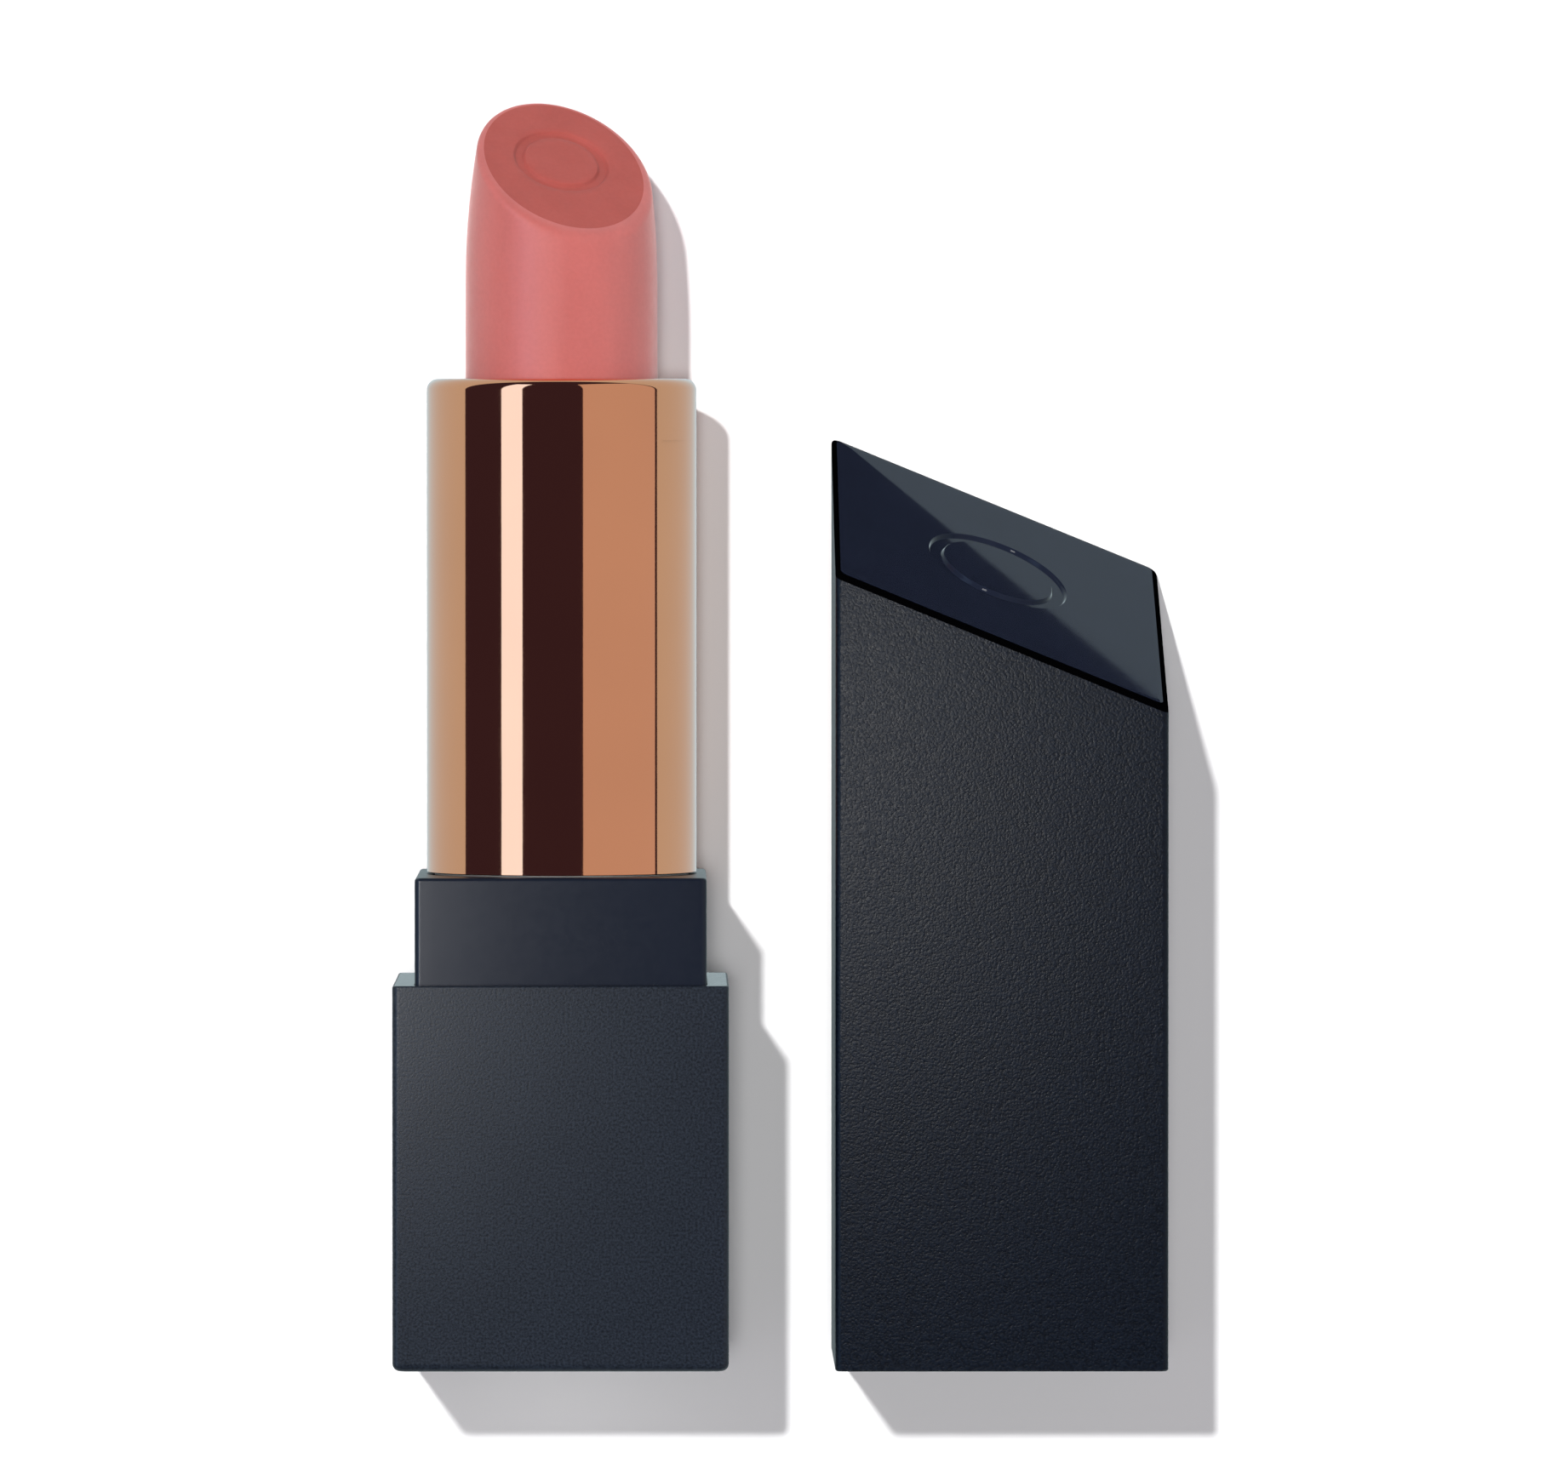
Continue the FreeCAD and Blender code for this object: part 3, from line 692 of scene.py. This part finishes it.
def add_flag():
    """An upright card level with the cap's tip, seen only where the pieces mirror it.

    Its side that faces the foot is black, and its other side is clear.
    """
    left, right, along = cap_low[0], cap_high[0] + FLAG_OVERHANG, cap_high[1]
    corners = [(left, along, 0), (right, along, 0), (right, along, FLAG_HEIGHT), (left, along, FLAG_HEIGHT)]
    flag = panel("flag", corners)
    paint = Paint("flag_black", (0.004, 0.004, 0.004), 0.9, Specular_IOR_Level=0.0)
    clear = paint.nodes.new("ShaderNodeBsdfTransparent")
    side = paint.nodes.new("ShaderNodeNewGeometry")
    mix = paint.nodes.new("ShaderNodeMixShader")
    paint.links.new(side.outputs["Backfacing"], mix.inputs["Fac"])
    paint.links.new(paint.shader.outputs["BSDF"], mix.inputs[1])
    paint.links.new(clear.outputs["BSDF"], mix.inputs[2])
    paint.links.new(mix.outputs["Shader"], paint.nodes["Material Output"].inputs["Surface"])
    set_material(flag, paint)
    flag.visible_camera = False
    flag.visible_diffuse = False
    flag.visible_shadow = False


def facing(place, back):
    """The matrix of a thing at this place that looks away from back, with +Y at its top."""
    side = Vector((0, 1, 0)).cross(back).normalized()
    axes = Matrix((side, back.cross(side), back)).transposed()
    return Matrix.Translation(place) @ axes.to_4x4()


def add_card(name, centre, direction, size_x, size_y, radiance, color=(1, 1, 1)):
    """A soft box: an area light at centre + direction, facing centre, long along Y."""
    data = bpy.data.lights.new(name, "AREA")
    data.shape = "RECTANGLE"
    data.size = size_x
    data.size_y = size_y
    data.energy = radiance * math.pi * size_x * size_y
    data.color = color
    lamp = link(bpy.data.objects.new(name, data))
    lamp.matrix_world = facing(centre + direction, direction.normalized())
    lamp.visible_camera = False
    return lamp


def direction_at(degrees, distance):
    """A step of this distance from the tube's axis, so many degrees from straight up towards +X."""
    angle = math.radians(degrees)
    return Vector((math.sin(angle), 0, math.cos(angle))) * distance


def add_band(name, start, end, radiance, color=(1, 1, 1)):
    """A flat card that a mirror tube shows between two angles from straight up."""
    first = direction_at(start, BAND_DISTANCE)
    last = direction_at(end, BAND_DISTANCE)
    width = (last - first).length
    return add_card(name, tube_middle, (first + last) / 2, width, BAND_LENGTH, radiance, color)


def keep_to(lamp, pieces):
    """Lets a lamp light only these pieces, and nothing else shade them from it."""
    lit = bpy.data.collections.new(lamp.name + "_pieces")
    for piece in pieces:
        lit.objects.link(piece)
    lamp.light_linking.receiver_collection = lit
    lamp.light_linking.blocker_collection = lit
    return lamp


def gloss_only(lamp):
    """Keeps a lamp to reflections."""
    lamp.visible_diffuse = False
    return lamp


def add_glow(name, box, offset, width, length, radiance, pieces):
    """A small soft box for the sheen on some pieces, placed from the top left foot corner of a box."""
    low, high = box
    centre = Vector((low[0], low[1], high[2])) + Vector(offset) * MM
    up = Vector((0, 0, MM))
    keep_to(gloss_only(add_card(name, centre, up, width, length, radiance)), pieces)


def add_sun(name, toward, strength, spread):
    """A distant light that gives shade and shadows but no gloss."""
    data = bpy.data.lights.new(name, "SUN")
    data.energy = strength
    data.angle = math.radians(spread)
    lamp = link(bpy.data.objects.new(name, data))
    lamp.rotation_euler = Vector(toward).to_track_quat("Z", "Y").to_euler()
    lamp.visible_glossy = False
    return lamp


BAND_DISTANCE = 0.60
BAND_LENGTH = 1.6
FLAG_OVERHANG = 8 * MM
FLAG_HEIGHT = 14 * MM
KEY_DIRECTION = (-4.0, 5.7, 21.0)
# the table as the pieces mirror it, and the room as the pieces and the camera see it
TABLE_MIRRORED = (0.57, 0.70, 0.74, 1)
ROOM = (0.040, 0.028, 0.050, 1)
BACKDROP = (0.93, 0.93, 0.93, 1)

add_floor()
add_flag()
gloss_only(add_band("strip_left", -52.0, -33.0, 1.8, (0.64, 1.0, 1.5)))
gloss_only(add_band("card_right", 18.6, 87.2, 0.55))
keep_to(gloss_only(add_band("card_bullet", -40.0, -4.0, 1.5)), [bullet_stick])
for name, start, end, radiance in (("side_left", -85.0, -55.0, 0.55), ("side_right", 55.0, 85.0, 0.25)):
    add_band(name, start, end, radiance).visible_glossy = False
keep_to(add_band("bullet_right", 62.0, 88.0, 1.1), [bullet_stick]).visible_glossy = False

add_sun("key", KEY_DIRECTION, 2.7, 1.8)
add_sun("fill", (0, 0, 1), 1.30, 8.0)

add_glow("base_glow", base_box, (-12, 29, 55), 10 * MM, 24 * MM, 30.0, [base_block, shoulder_block])
add_glow("cap_glow", cap_box, (-7, 40, 72), 12 * MM, 30 * MM, 29.0, [cap_block])

world = bpy.data.worlds.new("studio")
bpy.context.scene.world = world
world.use_nodes = True
tree = world.node_tree
background = tree.nodes["Background"]
background.inputs["Color"].default_value = ROOM
seen = tree.nodes.new("ShaderNodeBackground")
seen.inputs["Color"].default_value = BACKDROP
which = tree.nodes.new("ShaderNodeLightPath")
choose = tree.nodes.new("ShaderNodeMixShader")
tree.links.new(which.outputs["Is Camera Ray"], choose.inputs["Fac"])
tree.links.new(background.outputs["Background"], choose.inputs[1])
tree.links.new(seen.outputs["Background"], choose.inputs[2])
tree.links.new(choose.outputs["Shader"], tree.nodes["World Output"].inputs["Surface"])

# No piece mirrors the cap, so the tube's right flank shows the plain table.
cap_block.visible_glossy = False
nodes["cap_liner"].visible_glossy = False

# The camera is placed from the middle of the base's front top edge.
EYE = Vector((6.46, 34.96, 838.0)) * MM
TARGET = Vector((13.94, 15.70, 0.0)) * MM
step_middle = Vector((tube_middle.x, base_high[1], base_high[2]))
eye = step_middle + EYE
target = step_middle + TARGET
lens = bpy.data.cameras.new("camera")
lens.sensor_fit = "HORIZONTAL"
lens.sensor_width = 36.0
lens.lens = 308.7
lens.clip_start = 0.01
lens.clip_end = 20.0
camera = link(bpy.data.objects.new("camera", lens))
camera.matrix_world = facing(eye, (eye - target).normalized())
bpy.context.scene.camera = camera
bpy.context.scene.view_settings.view_transform = "Standard"
